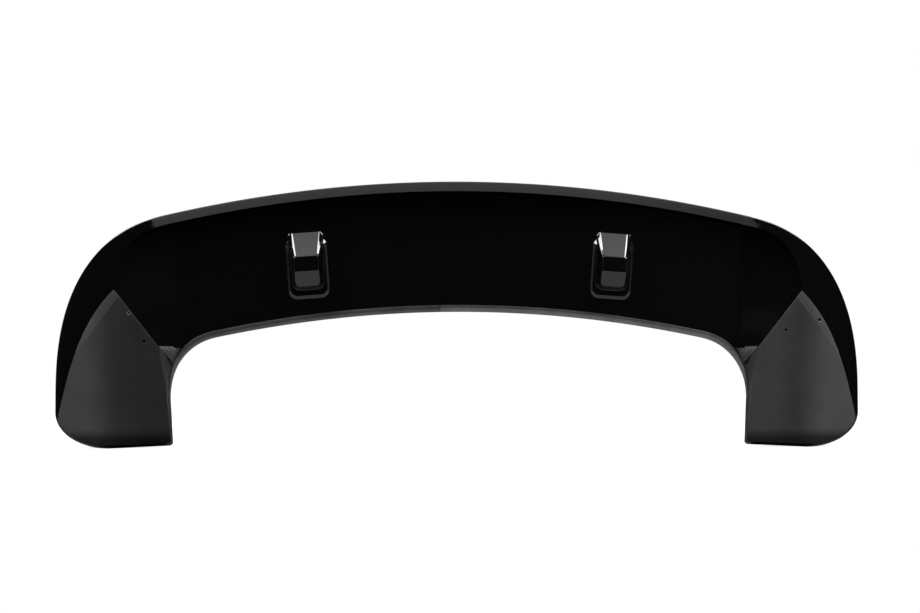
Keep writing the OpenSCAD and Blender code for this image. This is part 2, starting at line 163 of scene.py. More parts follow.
def st_w(s):
    return float(np.linalg.norm(out_pt(s) - in_pt(s)))


FOOT_LINE = (1, 1.0)
FOOT_IN = in_pt(FOOT_LINE) + FOOT_CORNER * st_dir(FOOT_LINE)
FOOT_APEX = out_pt(FOOT_LINE) - RIM_AT_FOOT * st_dir(FOOT_LINE)
FOLD_HALF = FOOT_IN[0] - FOLD_RUN


def line_x(z):
    if z > FOOT_APEX[1]:
        return FOOT_APEX[0] + 0.8 * (z - FOOT_APEX[1])
    return mix(FOOT_IN[0], FOOT_APEX[0], share(z, FOOT_IN[1], FOOT_APEX[1]))


def along(s):
    return (0, 0.35, 0.55, 0.75, 0.8)[s[0]] + (0.35, 0.2, 0.2, 0.05, 0.2)[s[0]] * s[1]


def edge_y(s):
    if s[0] < 2:
        return RECESS
    if s[0] == 2:
        return mix(RECESS, ARM_RECESS, ease(s[1]))
    return mix(TOE_RECESS, ARM_RECESS, in_pt(s)[1] / ARM_IN_TOP)


def fold_h(s):
    return mix(FOLD_EDGE, FOLD_EDGE_TOE, ease(along(s)))


def deep(s):
    fade = 0.5 + 0.5 * cosd(180 * along(s) ** 1.25)
    return edge_y(s) + fold_h(s) + 1 + (TRAIL_DEPTH - RECESS - FOLD_EDGE - 1) * fade


def trim_turn(s):
    if s[0] == 0:
        return 0.0
    return 90.0 if s[0] > 2 else 90 * ease(share(turn_in(s), TRIM_TURN_0, TRIM_TURN_1))


def trim_dir(s):
    return np.array((cosd(trim_turn(s)), -sind(trim_turn(s))))


def trim_out(s):
    return np.array((-sind(trim_turn(s)), -cosd(trim_turn(s))))


def rim_w(s):
    if s[0] == 0:
        return RIM_WIDTH
    if s[0] == 1:
        return mix(RIM_WIDTH, RIM_AT_FOOT, s[1] ** 2.5)
    return edge_line(out_pt(s)[1]) / max(0.25, cosd(toe_turn(s)))


def edge_line(z):
    return SKIN_EDGE + (RIM_AT_FOOT - SKIN_EDGE) * max(0.0, (z - HEEL_Z) / (out_pt(FOOT_LINE)[1] - HEEL_Z))


def soft_share(v, a, b, k):
    """A share that turns softly at both ends, over k either side."""
    t = (v - a) / (b - a)
    k = k / abs(b - a)
    if abs(t) < k:
        return (t + k) ** 2 / (4 * k)
    if abs(t - 1) < k:
        return 1 - (1 + k - t) ** 2 / (4 * k)
    return min(1.0, max(0.0, t))


def face_y(x, z):
    return PANEL_Y - (PANEL_Y - SHELF_Y) * soft_share(x, FOLD_HALF, line_x(z), 3.0)


def corner(s):
    return 0.0 if s[0] == 0 else s[1]


def panel_start(s):
    return (np.array((0.0, edge_y(s))) + (TRIM_W + PANEL_GAP + 2 * corner(s)) * trim_dir(s)
            + (PANEL_WALL + corner(s)) * trim_out(s))


def panel_front(s, r):
    p, d, q = in_pt(s), st_dir(s), panel_start(s)
    x, z = p + r * d
    ax, az = p + q[0] * d
    reach = PANEL_FLAT if s[0] == 0 else mix(PANEL_FLAT, FOOT_CORNER, s[1])
    return face_y(x, z) + (q[1] - face_y(ax, az)) * (1 - soft_share(r, q[0], reach, 1.5) if r > q[0] else 1.0)


def lip(s):
    return FOOT_CORNER * (1 - (s[1] if s[0] == 2 else 1)) ** 2.4


def arc(a, corner_pt, b, radius, n):
    """Points that round the corner between a and b."""
    a, c, b = (np.array(p, float) for p in (a, corner_pt, b))
    u, v = unit(a - c), unit(b - c)
    t = min(radius, 0.45 * np.linalg.norm(a - c), 0.45 * np.linalg.norm(b - c))
    return [bend(c + u * t, c, c + v * t, i / (n - 1)) for i in range(n)]


def skin_pts(s):
    """The outer skin's section, from the flange round the back to the rim, with every edge rounded."""
    w, d = st_w(s), deep(s)
    k = ease(share(along(s), 0.3, 0.75))
    f = np.array((0, edge_y(s))) + TRIM_W * trim_dir(s)
    e0 = np.array((0.0, edge_y(s)))
    a = np.array((0.0, edge_y(s) + fold_h(s)))
    b = np.array((mix(0.5, 0.1, k) * w, mix(mix(a[1], d, 0.45), d, k)))
    c = np.array((mix(TRAIL_SHARE, 0.5, k) * w, d))
    e = np.array((0.97 * w, mix(0.5, 1, k) * d))
    g = np.array((w, SHELF_Y))
    if s[0] < 2:
        pts = [np.array((f[0] + r, panel_back(s, f[0] + r))) for r in (FLANGE_W, 11, 8, 6, 4)] + [f]
    else:
        f = np.array((f[0], max(f[1], RIM_SETBACK + SKIN + 0.5)))
        start = np.array((lip(s) + 10, RIM_SETBACK))
        edge = np.array((lip(s), RIM_SETBACK))
        pts = [start] + arc(start, edge, f, 1.3, 4) + [f]
    pts += [mix(f, e0, 0.5)] + arc(f, e0, a, 0.8, 3)
    first = bend(a, b, c, 0.05)
    pts += arc(e0, a, first, 1.6, 4)
    d1 = min(0.25, 3.0 / (2 * np.linalg.norm(c - b)))
    d2 = min(0.25, 3.0 / (2 * np.linalg.norm(e - c)))
    pts += [bend(a, b, c, mix(0.05, 1 - d1, i / 16)) for i in range(17)]
    pts += [bend(bend(a, b, c, 1 - d1), c, bend(c, e, g, d2), i / 5) for i in range(1, 5)]
    pts += [bend(c, e, g, mix(d2, 0.985, i / 14)) for i in range(15)]
    under = 0 if s[0] < 2 else TUCK
    inner = np.array((w - rim_w(s) - under, RIM_SETBACK))
    pts += arc(bend(c, e, g, 0.985), np.array((w, RIM_SETBACK)), inner, 2.6, 7)
    pts += [mix(pts[-1], inner, 0.5), inner]
    return np.array(pts)


def panel_back(s, r):
    slope = (panel_front(s, r + 1) - panel_front(s, r - 1)) / 2
    return panel_front(s, r) + PANEL_WALL * math.sqrt(1 + slope * slope) + 3.3 * corner(s)


def panel_pts(s):
    q, d = panel_start(s), st_dir(s)
    top = st_w(s) - rim_w(s) + 4
    fold = top if d[0] < 0.01 else (FOLD_HALF - in_pt(s)[0]) / d[0]
    f = max(q[0] + 3, min(top - 3, fold))
    rs = [mix(q[0], f, i / 16) for i in range(17)] + [mix(f, top, i / 16) for i in range(1, 17)]
    pts = [np.array((r, panel_front(s, r))) for r in rs]
    end = np.array((top + 1.5, SHELF_Y))
    return np.array(pts[:-1] + arc(pts[-2], pts[-1], end, 1.5, 4) + [end, np.array((top + 5, SHELF_Y))])


def inset(p, t):
    step = np.diff(p, axis=0)
    step /= np.maximum(np.linalg.norm(step, axis=1), 1e-9)[:, None]
    a = np.vstack((step[:1], step))
    b = np.vstack((step, step[-1:]))
    m = np.stack((a[:, 1], -a[:, 0]), 1)
    n = np.stack((b[:, 1], -b[:, 0]), 1)
    dot = (m * n).sum(1)
    return p + t * (m + n) / np.maximum(0.4, 1 + dot)[:, None]


def place(s, pts, side, lift=0.0):
    q = in_pt(s)[None, :] + pts[:, :1] * st_dir(s)[None, :]
    up = lift * sind(toe_turn(s)) ** 2 if s[0] == 4 else 0.0
    return np.stack((side * q[:, 0], pts[:, 1], q[:, 1] + up), 1)


# Meshes.
def new_object(name, verts, faces, replaces=(), sharp=32.0):
    mesh = bpy.data.meshes.new(name)
    mesh.from_pydata((np.asarray(verts, float) * MM).tolist(), [], faces)
    mesh.validate()
    for p in mesh.polygons:
        p.use_smooth = True
    mesh.set_sharp_from_angle(angle=math.radians(sharp))
    obj = bpy.data.objects.new(name, mesh)
    bpy.context.scene.collection.objects.link(obj)
    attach(obj, "root")
    if replaces:
        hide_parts(*replaces)
    return obj


def loft(loops, flip, caps):
    """Joins closed loops of equal length. caps 'ngon' closes both ends with one face, 'strip' closes the
    ends of a thin wall, and 'toe' closes the outer skin, the inner skin and the gap between them."""
    n, m = len(loops), len(loops[0])
    verts = np.vstack(loops)
    faces = []
    for j in range(n - 1):
        for i in range(m):
            a, b = j * m + i, j * m + (i + 1) % m
            faces.append((a, b, b + m, a + m) if flip else (a + m, b + m, b, a))
    for base, first in ((0, True), ((n - 1) * m, False)):
        if caps == "ngon":
            cap = [list(range(base, base + m))]
        elif caps == "strip":
            cap = [[base + i, base + i + 1, base + m - 2 - i, base + m - 1 - i] for i in range(m // 2 - 1)]
        else:
            h = m // 2
            cap = [list(range(base, base + h)), list(range(base + h, base + m)),
                   [base + h - 1, base + h, base + m - 1, base]]
        faces += [c if first == (not flip) else c[::-1] for c in cap]
    return verts, faces


def fine(regions):
    out = []
    for region, count in regions:
        out += [(region, (j + 1) / count) for j in range(count)]
    return out


crown = [(0, j / 64) for j in range(65)]
corner_st = fine(((1, 44),))
foot_st = [(2, 0.012)] + fine(((2, 40),))
arm_st = fine(((3, 6),)) + [(4, j / 36) for j in range(1, 37)]
shell_st = crown + corner_st + foot_st + arm_st
panel_st = crown + corner_st


def wall(s, pts, t, side, lift):
    return np.vstack((place(s, pts, side), place(s, inset(pts, t), side, lift)[::-1]))


def two_sides(stations, section, t, lift):
    sections = {s: section(s) for s in stations}
    left = [wall(s, sections[s], t, -1, lift) for s in stations[::-1] if s != (0, 0.0)]
    right = [wall(s, sections[s], t, 1, lift) for s in stations]
    return left + right


def make_shell():
    verts, faces = loft(two_sides(shell_st, skin_pts, SKIN, TOE_SOLID), True, "toe")
    return new_object("shell_skin", verts, faces, ("outer_shell",))


def smooth_max(a, b, k):
    h = np.clip(0.5 + 0.5 * (a - b) / k, 0, 1)
    return b + (a - b) * h + k * h * (1 - h)


def smooth_min(a, b, k):
    return -smooth_max(-a, -b, k)


BOSS_Z = mix(arch_arc(BOSS_HALF) + TRIM_W + BOSS_CLEAR + PLINTH_H / 2,
             crown_arc(BOSS_HALF) - RIM_WIDTH - PLINTH_H / 2, BOSS_SHARE)


def round_box(u, v, w, h, r):
    """Signed distance to a rounded rectangle, negative inside."""
    qx, qy = np.abs(u) - w / 2 + r, np.abs(v) - h / 2 + r
    return np.hypot(np.maximum(qx, 0), np.maximum(qy, 0)) + np.minimum(np.maximum(qx, qy), 0) - r


# The boss's shape: lengths in millimetres, slopes as rise for each millimetre across.
PLINTH_LIFT, PLINTH_DROP, SUNK = 2.2, 4.0, 0.4
BORDER_SIDE, BORDER_LOW, BORDER_TOP = 4.4, 7.5, 7.0
RAMP_SLOPE, RAMP_CURVE, WALL_SLOPE, BODY_ROUND = 0.80, 0.0033, 3.3, 7.0
RAMP_HALF, RAMP_FLARE, CURL_OUT = 15.4, 0.15, 5.6
BEVEL_SLOPE_IN, BEVEL_SLOPE_OUT = 0.66, 0.52


def boss_height(u, v, side):
    """Height of the boss above the panel, over the local plane u across, v up."""
    full = PANEL_Y
    top_v = PAD_RISE + PAD_H / 2
    low_v = PAD_RISE - PAD_H / 2
    # The plinth: a narrow border at the sides, a wide one below, and a steeper one where it meets the ramp.
    up = ease(np.clip((v - 18) / 24, 0, 1))
    low = np.clip((-v - 32) / 12, 0, 1)
    plinth = mix(PLINTH_STEP, PLINTH_STEP + PLINTH_LIFT, up)
    edge = round_box(u, v + PLINTH_DROP / 2, PLINTH_W, PLINTH_H - PLINTH_DROP, PLINTH_ROUND)
    rise = np.clip((0.5 - edge) / mix(mix(BORDER_SIDE, BORDER_LOW, low), BORDER_TOP, up), 0, 1)
    step = (plinth + SUNK) * mix(ease(rise), rise, up) - SUNK
    # Planes of the wedge: pad, ramp above it, face below it, and the walls round it.
    t = np.maximum(v - top_v, 0)
    ramp = full - RAMP_SLOPE * (v - top_v) + RAMP_CURVE * t * t
    face = full + (v - low_v) * SHOULDER_SETBACK / (low_v + SHOULDER_DOWN)
    top = smooth_min(smooth_min(np.full_like(u, full), ramp, 1.6), face, 1.0)
    body_top, body_low = PLINTH_H, 1.5 - SHOULDER_DOWN
    body = round_box(u, v - (body_top + body_low) / 2, PAD_W, body_top - body_low, BODY_ROUND)
    walls = np.minimum(full, face) - WALL_SLOPE * body
    # A bevel runs down each side of the ramp and curls out above the pad.
    curl = ease(np.clip((v - top_v + 3) / 5, 0, 1))
    flat_half = RAMP_HALF + RAMP_FLARE * t + CURL_OUT * (1 - curl)
    slope = np.where(u * side < 0, BEVEL_SLOPE_IN, BEVEL_SLOPE_OUT)
    bevel = np.minimum(full, ramp) + slope * (flat_half - np.abs(u))
    wedge = smooth_min(smooth_min(top, bevel, 0.9), walls, 2.0)
    return smooth_max(smooth_max(wedge, step, 1.0), np.full_like(u, -SUNK), 0.3)


def grid_lines(half, tight, fine_step, coarse_step):
    """Grid lines from -half to half, finer where the edges of the boss lie."""
    x, out = -half, []
    while x < half:
        out.append(x)
        near = min(abs(abs(x) - t) for t in tight)
        x += fine_step if near < 5 else coarse_step
    return np.array(out + [half])


def boss_mesh(side):
    us = grid_lines(PLINTH_W / 2 + 4, (PAD_W / 2 + 1, BOSS_W / 2, PLINTH_W / 2), 0.45, 1.0)
    vs = grid_lines(PLINTH_H / 2 + 4, (15, 6, 32, 47, PLINTH_H / 2), 0.5, 1.0)
    u, v = np.meshgrid(us, vs)
    y = PANEL_Y - boss_height(u, v, side)
    a = math.radians(BOSS_TILT) * side
    x = side * BOSS_HALF + u * math.cos(a) + v * math.sin(a)
    z = BOSS_Z - u * math.sin(a) + v * math.cos(a)
    verts = np.stack((x, np.maximum(y, 0.0), z), -1).reshape(-1, 3)
    n, m = u.shape
    faces = []
    for j in range(n - 1):
        for i in range(m - 1):
            k = j * m + i
            faces.append((k, k + 1, k + m + 1, k + m))
    return verts, faces


def make_panel():
    verts, faces = loft(two_sides(panel_st, panel_pts, -PANEL_WALL, 0.0), False, "strip")
    for side in (-1, 1):
        v2, f2 = boss_mesh(side)
        base = len(verts)
        verts = np.vstack((verts, v2))
        faces += [tuple(i + base for i in f) for f in f2]
    return new_object("panel_skin", verts, faces, ("inner_panel",), 50.0)


# Foot plates.
def plate_in(s):
    return in_pt(s) + lip(s) * st_dir(s)


def plate_out(s):
    if s[0] < 4:
        return out_pt(s) - rim_w(s) * st_dir(s)
    a = toe_turn(s)
    n = unit(np.array((TOE_Z * cosd(a), -TOE_X * sind(a))))
    return out_pt(s) - edge_line(out_pt(s)[1]) * n


def plate_outline():
    st = [(2, 0.0)] + fine(((2, 40),)) + fine(((3, 4),)) + [(4, j / 60) for j in range(1, 61)]
    low = FOOT_BOTTOM + TOE_LIFT
    inner = [plate_in(s) for s in st if plate_in(s)[1] > low + 2]
    outer = [plate_out(s) for s in st[::-1] if plate_out(s)[1] > FOOT_BOTTOM + 0.15]
    pts = inner + [np.array((arm_x(low) + 2.0, low))] + outer
    # Even spacing of about 3 mm keeps the rounded edge clean.
    out = []
    n = len(pts)
    for i in range(n):
        a, b = pts[i], pts[(i + 1) % n]
        cells = max(1, int(round(np.linalg.norm(b - a) / 3.0)))
        out += [mix(a, b, j / cells) for j in range(cells)]
    keep = [out[0]]
    for p in out[1:]:
        if np.linalg.norm(p - keep[-1]) > 1.2:
            keep.append(p)
    return np.array(keep)


def ring_inset(p, t):
    a = p - np.roll(p, 1, 0)
    b = np.roll(p, -1, 0) - p
    a /= np.linalg.norm(a, axis=1)[:, None]
    b /= np.linalg.norm(b, axis=1)[:, None]
    n = np.stack((-(a + b)[:, 1], (a + b)[:, 0]), 1)
    dot = (a * b).sum(1)
    return p + t * n / np.maximum(0.6, 1 + dot)[:, None]


CREASE_TOP = mix(FOOT_IN, FOOT_APEX, 1.1 * CREASE_SHARE + 0.3)
CREASE_LOW = np.array((mix(arm_x(0), HALF, 0.395), CREASE_FOOT))
BEVEL_TO = plate_out((2, 3 / 7))


def line_through(a, b):
    """Numbers p, q, r for which p * x + q * z + r is the distance to the right of the line from a to b."""
    run = unit(b - a)
    return float(run[1]), float(-run[0]), float(a[1] * run[0] - a[0] * run[1])


CREASE_LINE = line_through(CREASE_LOW, CREASE_TOP)
BEVEL_LINE = line_through(FOOT_APEX, BEVEL_TO)


def plate_depth(x, z):
    """How far the plate's front lies behind the seat plane."""
    p, q, r = CREASE_LINE
    crease = (p * x + q * z + r) * math.tan(math.radians(CREASE_TILT))
    p, q, r = BEVEL_LINE
    bevel = (BEVEL_W - p * x - q * z - r) * math.tan(math.radians(BEVEL_TILT))
    d = smooth_max(crease, np.zeros_like(crease), 0.35)
    return np.clip(smooth_max(d, bevel, 0.25), 0.0, PLATE - 0.6)


def hole_at(h):
    u = unit(FOOT_APEX - FOOT_IN)
    return mix(FOOT_IN, FOOT_APEX, h[0]) + h[1] * np.array((u[1], -u[0]))


def make_plate(name, side, holes, node):
    edge = plate_outline()
    rings = [(0.0, 0.75), (0.1, 0.42), (0.32, 0.15), (0.75, 0.0)]
    layers = [(ring_inset(edge, t), dy) for t, dy in rings]
    inner = layers[-1][0]
    points = [tuple(p) for p in inner]
    n = len(points)
    cons = [(i, (i + 1) % n) for i in range(n)]
    centres = []
    for h in holes:
        c = hole_at(h)
        centres.append((c, h[2] / 2))
        base = len(points)
        r = h[2] / 2 + 0.25
        points += [(c[0] + r * cosd(i * 15), c[1] + r * sind(i * 15)) for i in range(24)]
        cons += [(base + i, base + (i + 1) % 24) for i in range(24)]
    lo, hi = inner.min(0), inner.max(0)
    ring = np.vstack((inner, inner[:1]))
    for gx in np.arange(lo[0], hi[0], 4.0):
        for gz in np.arange(lo[1], hi[1], 4.0):
            p = np.array((gx + 0.7 * sind(gz * 31), gz))
            a, b = ring[:-1], ring[1:]
            step = np.where(b[:, 1] == a[:, 1], 1e-9, b[:, 1] - a[:, 1])
            cross = ((a[:, 1] > p[1]) != (b[:, 1] > p[1])) & (
                p[0] < (b[:, 0] - a[:, 0]) * (p[1] - a[:, 1]) / step + a[:, 0])
            if cross.sum() % 2 == 0 or np.linalg.norm(inner - p, axis=1).min() < 2.0:
                continue
            if any(np.linalg.norm(p - c) < r + 1.5 for c, r in centres):
                continue
            points.append(tuple(p))
    v2, _, tris, _, _, _ = geometry.delaunay_2d_cdt([Vector(p) for p in points], cons, [], 1, 1e-4)
    v2 = np.array([(v.x, v.y) for v in v2])
    depth = plate_depth(v2[:, 0], v2[:, 1])
    verts = [np.stack((v2[:, 0], depth, v2[:, 1]), 1)]
    faces = []
    for t in tris:
        m = v2[list(t)].mean(0)
        if not any(np.linalg.norm(m - c) < r + 0.2 for c, r in centres):
            area = np.cross(v2[t[1]] - v2[t[0]], v2[t[2]] - v2[t[0]])
            faces.append(tuple(t) if area > 0 else tuple(t)[::-1])
    count = len(v2)
    front_count = len(faces)

    def near(p):
        return int(np.argmin(np.linalg.norm(v2 - p, axis=1)))

    def wall_down(loop_ids, profile, outward):
        """Adds a wall from the front edge back to the plate's rear face."""
        nonlocal count
        prev = loop_ids
        for pts, ys in profile:
            verts.append(np.stack((pts[:, 0], ys, pts[:, 1]), 1))
            ids = list(range(count, count + len(pts)))
            count += len(pts)
            for i in range(len(ids)):
                j = (i + 1) % len(ids)
                f = (prev[i], prev[j], ids[j], ids[i])
                faces.append(f if outward else f[::-1])
            prev = ids
        return prev

    profile = []
    for pts, dy in layers[-2::-1]:
        profile.append((pts, np.minimum(plate_depth(pts[:, 0], pts[:, 1]) + dy, PLATE - 0.2)))
    profile.append((edge, np.full(len(edge), PLATE)))
    back = wall_down([near(p) for p in inner], profile, False)
    # The rear face is the front's mesh again, laid flat and turned over.
    first = count
    verts.append(np.stack((v2[:, 0], np.full(len(v2), PLATE), v2[:, 1]), 1))
    count += len(v2)
    faces += [tuple(i + first for i in f)[::-1] for f in faces[:front_count]]
    rim = [first + near(p) for p in inner]
    for i in range(n):
        j = (i + 1) % n
        faces.append((back[i], back[j], rim[j], rim[i]))
    for c, r in centres:
        a = np.radians(np.arange(24) * 15)
        big = np.stack((c[0] + (r + 0.25) * np.cos(a), c[1] + (r + 0.25) * np.sin(a)), 1)
        small = np.stack((c[0] + r * np.cos(a), c[1] + r * np.sin(a)), 1)
        d = plate_depth(small[:, 0], small[:, 1])
        last = wall_down([near(p) for p in big], [(small, d + 0.3), (small, np.full(24, PLATE))], True)
        ring = [first + near(p) for p in big]
        for i in range(24):
            j = (i + 1) % 24
            faces.append((last[i], last[j], ring[j], ring[i]))
    verts = np.vstack(verts)
    verts[:, 0] *= side
    if side < 0:
        faces = [tuple(f)[::-1] for f in faces]
    return new_object(name, verts, faces, (node,), 40.0)


# Edge trims.
def trim_loop(s, crest, side):
    w = min(TRIM_W, edge_y(s) - RIM_SETBACK - 0.5)
    h = mix(TRIM_H, TRIM_H_ARM, trim_turn(s) / 90)
    raw = np.array(((0, 0), (0, 0.3), (crest * 0.45, 0.85), (crest, 1), ((1 + crest) / 2, 0.9), (0.95, 0.65),
                    (1, 0.25), (1, 0)), float)
    for _ in range(2):
        cut = [raw[0]]
        for a, b in zip(raw[:-1], raw[1:]):
            cut += [mix(a, b, 0.25), mix(a, b, 0.75)]
        raw = np.array(cut + [raw[-1]])
    f, o = trim_dir(s), trim_out(s)
    pts = np.array((0, edge_y(s))) + raw[:, :1] * w * f + raw[:, 1:] * h * o
    return place(s, pts, side)


def make_trim(name, side, crest, node):
    if side < 0:
        start = (0, (SEAM_GAP / 2 - SEAM_X) / ARCH_CORNER_START)
        st = [start] + [s for s in shell_st if s[0] > 0 or s[1] * ARCH_CORNER_START > 8 - SEAM_X]
        loops = [trim_loop(s, crest, -1) for s in st]
        verts, faces = loft(loops, True, "ngon")
    else:
        cut = [(0, (-SEAM_X - SEAM_GAP / 2) / ARCH_CORNER_START * t) for t in (1, 0.6, 0.3)]
        loops = [trim_loop(s, crest, -1) for s in cut] + [trim_loop(s, crest, 1) for s in shell_st]
        verts, faces = loft(loops, False, "ngon")
    return new_object(name, verts, faces, (node,), 45.0)


shell = make_shell()
panel = make_panel()
plate_l = make_plate("plate_left", -1, HOLES_LEFT, "foot_plate_left")
plate_r = make_plate("plate_right", 1, HOLES_RIGHT, "foot_plate_right")
trim_l = make_trim("trim_left", -1, CREST_LEFT, "edge_trim_left")
trim_r = make_trim("trim_right", 1, CREST_RIGHT, "edge_trim_right")


def fix_normals(obj):
    """Turns the faces outward, so that a closed mesh has a positive volume."""
    bm = bmesh.new()
    bm.from_mesh(obj.data)
    bmesh.ops.recalc_face_normals(bm, faces=bm.faces)
    bm.to_mesh(obj.data)
    bm.free()


# Finishes: tones are linear greys, places are metres in the shared frame.
GLOSS_TONE, DUST_TONE, FACET_TONE = 0.0011, 0.06, 0.003
BAND_TONE_LEFT, BAND_TONE_RIGHT = 0.013, 0.006
BAND_SHIFT, BAND_END, BAND_BACK, BAND_LOW = 0.006, 0.488, 0.0065, 0.325
FACET_TOP, FACET_BUMP, FACET_OUT, FACET_LOW = 0.1555, 0.005, 0.468, 0.008
# Where the panel's reflection is taken out beside each plate's corner, as painted shade.
PAINTED_SHADE_IN, PAINTED_SHADE_LOW, PAINTED_SHADE_TOP = 0.430, 0.157, 0.171
SATIN_DROP, FULL_SHINE = 0.2, 0.5


class Nodes:
    """A short way to write a node tree."""

    def __init__(self, tree):
        self.tree = tree
        tree.nodes.clear()

    def add(self, kind, inputs=None, links=None, **values):
        node = self.tree.nodes.new(kind)
        for key, value in values.items():
            setattr(node, key, value)
        for key, value in (inputs or {}).items():
            node.inputs[key].default_value = value
        for key, value in (links or {}).items():
            self.tree.links.new(value, node.inputs[key])
        return node

    def math(self, op, a, b=None, clamp=False):
        node = self.add("ShaderNodeMath", operation=op, use_clamp=clamp)
        for i, v in enumerate((a, b)):
            if isinstance(v, (int, float)):
                node.inputs[i].default_value = v
            elif v is not None:
                self.tree.links.new(v, node.inputs[i])
        return node.outputs[0]

    def times(self, first, *rest):
        for value in rest:
            first = self.math("MULTIPLY", first, value)
        return first

    def plus(self, first, *rest):
        for value in rest:
            first = self.math("ADD", first, value)
        return first

    def noise(self, coord, scale, detail=2.0, rough=0.5, distortion=0.0):
        inputs = {"Scale": scale, "Detail": detail, "Roughness": rough, "Distortion": distortion}
        return self.add("ShaderNodeTexNoise", inputs=inputs, links={"Vector": coord}).outputs["Fac"]

    def ramp(self, value, lo, hi, to_lo=0.0, to_hi=1.0, smooth=True):
        inputs = {"From Min": lo, "From Max": hi, "To Min": to_lo, "To Max": to_hi}
        return self.add("ShaderNodeMapRange", interpolation_type="SMOOTHSTEP" if smooth else "LINEAR",
                        inputs=inputs, links={"Value": value}).outputs[0]

    def split(self, vector):
        return tuple(self.add("ShaderNodeSeparateXYZ", links={"Vector": vector}).outputs)

    def grey(self, value):
        links = {"Red": value, "Green": value, "Blue": value}
        return self.add("ShaderNodeCombineColor", links=links).outputs[0]

    def blend(self, fac, a, b):
        n = self.add("ShaderNodeMix", data_type="RGBA")
        self.tree.links.new(fac, n.inputs[0])
        for i, v in ((6, a), (7, b)):
            if isinstance(v, tuple):
                n.inputs[i].default_value = v
            else:
                self.tree.links.new(v, n.inputs[i])
        return n.outputs[2]


def material(name):
    m = bpy.data.materials.new(name)
    m.use_nodes = True
    return m, Nodes(m.node_tree)


def grey(v):
    return (v, v, v, 1.0)


def specks(t, coord, scale, size, amount):
    """Sparse grains: 1 in a grain, 0 elsewhere."""
    v = t.add("ShaderNodeTexVoronoi", inputs={"Scale": scale, "Randomness": 1.0}, links={"Vector": coord})
    near = t.ramp(v.outputs["Distance"], size * 0.5, size, 1.0, 0.0)
    pick = t.add("ShaderNodeSeparateColor", links={"Color": v.outputs["Color"]})
    return t.times(near, t.math("GREATER_THAN", pick.outputs[0], 1 - amount))


def gloss_finish(name, is_shell):
    """Gloss black. The shell has a matt crown on its rim; the panel has painted shade beside each plate's
    corner, where its reflection is taken out.
    """
    m, t = material(name)
    coord = t.add("ShaderNodeTexCoord").outputs["Object"]
    x, y, z = t.split(coord)
    peel = t.noise(coord, 260.0, 2.0, 0.5)
    wave = t.noise(coord, 9.0, 2.0, 0.5)
    smear = t.noise(coord, 14.0, 4.0, 0.6, 0.6)
    grain = t.noise(coord, 900.0, 3.0, 0.7)
    ragged = t.noise(coord, 55.0, 4.0, 0.65)
    dust = specks(t, coord, 85.0, 0.045, 0.05)
    rough = t.plus(t.ramp(smear, 0.45, 0.75, 0.03, 0.07), t.times(dust, 0.4))
    colour = t.blend(dust, grey(GLOSS_TONE), grey(DUST_TONE))
    height = t.plus(t.times(peel, 0.10), t.times(wave, 0.9))
    out = t.math("ABSOLUTE", x)
    satin = []
    if is_shell:
        # Matt paint along the crown of the rim, with ragged ends.
        reach = t.plus(t.math("ABSOLUTE", t.plus(x, BAND_SHIFT)), t.times(ragged, 0.05))
        band = t.times(t.ramp(reach, BAND_END, BAND_END + 0.012, 1.0, 0.0),
                       t.ramp(y, BAND_BACK, BAND_BACK + 0.002, 1.0, 0.0),
                       t.ramp(z, BAND_LOW, BAND_LOW + 0.005, 0.0, 1.0))
        satin.append((band, t.grey(t.ramp(x, 0.20, 0.45, BAND_TONE_LEFT, BAND_TONE_RIGHT))))
        shine = FULL_SHINE
    else:
        # Painted shade: the reflection is taken out beside each plate's corner.
        painted_shade = t.times(t.ramp(out, PAINTED_SHADE_IN, PAINTED_SHADE_IN + 0.010, 0.0, FULL_SHINE),
                       t.ramp(z, PAINTED_SHADE_LOW, PAINTED_SHADE_LOW + 0.001, 0.0, 1.0),
                       t.ramp(z, PAINTED_SHADE_TOP, PAINTED_SHADE_TOP + 0.005, 1.0, 0.0))
        shine = t.math("SUBTRACT", FULL_SHINE, painted_shade)
    # The arm's inner wall, beside and below the plate's inner corner, is satin.
    edge = t.plus(z, t.ramp(out, 0.446, 0.456, 0.0, -FACET_BUMP), t.times(ragged, 0.003))
    facet = t.times(t.ramp(edge, FACET_TOP, FACET_TOP + 0.001, 1.0, 0.0),
                    t.ramp(out, FACET_OUT, FACET_OUT + 0.002, 1.0, 0.0),
                    t.ramp(z, FACET_LOW, FACET_LOW + 0.004, 0.0, 1.0))
    satin.append((facet, grey(FACET_TONE)))
    for mask, tone in satin:
        shine = t.math("SUBTRACT", shine, t.times(mask, SATIN_DROP), True)
        colour = t.blend(mask, colour, tone)
        rough = t.plus(t.times(rough, t.math("SUBTRACT", 1.0, mask)),
                       t.times(mask, t.ramp(grain, 0.3, 0.7, 0.42, 0.56)))
        height = t.plus(height, t.times(grain, mask, 0.25))
    bump = t.add("ShaderNodeBump", inputs={"Strength": 0.12, "Distance": 0.001}, links={"Height": height})
    bsdf = t.add("ShaderNodeBsdfPrincipled", inputs={"IOR": 1.5},
                 links={"Base Color": colour, "Roughness": rough, "Specular IOR Level": shine,
                        "Normal": bump.outputs[0]})
    t.add("ShaderNodeOutputMaterial", links={"Surface": bsdf.outputs[0]})
    return m


def line_side(t, out, z, line):
    """Distance to the right of a line in the plate, in metres, the same on both sides of the car."""
    p, q, r = line
    return t.plus(t.times(out, p), t.times(z, q), r * MM)


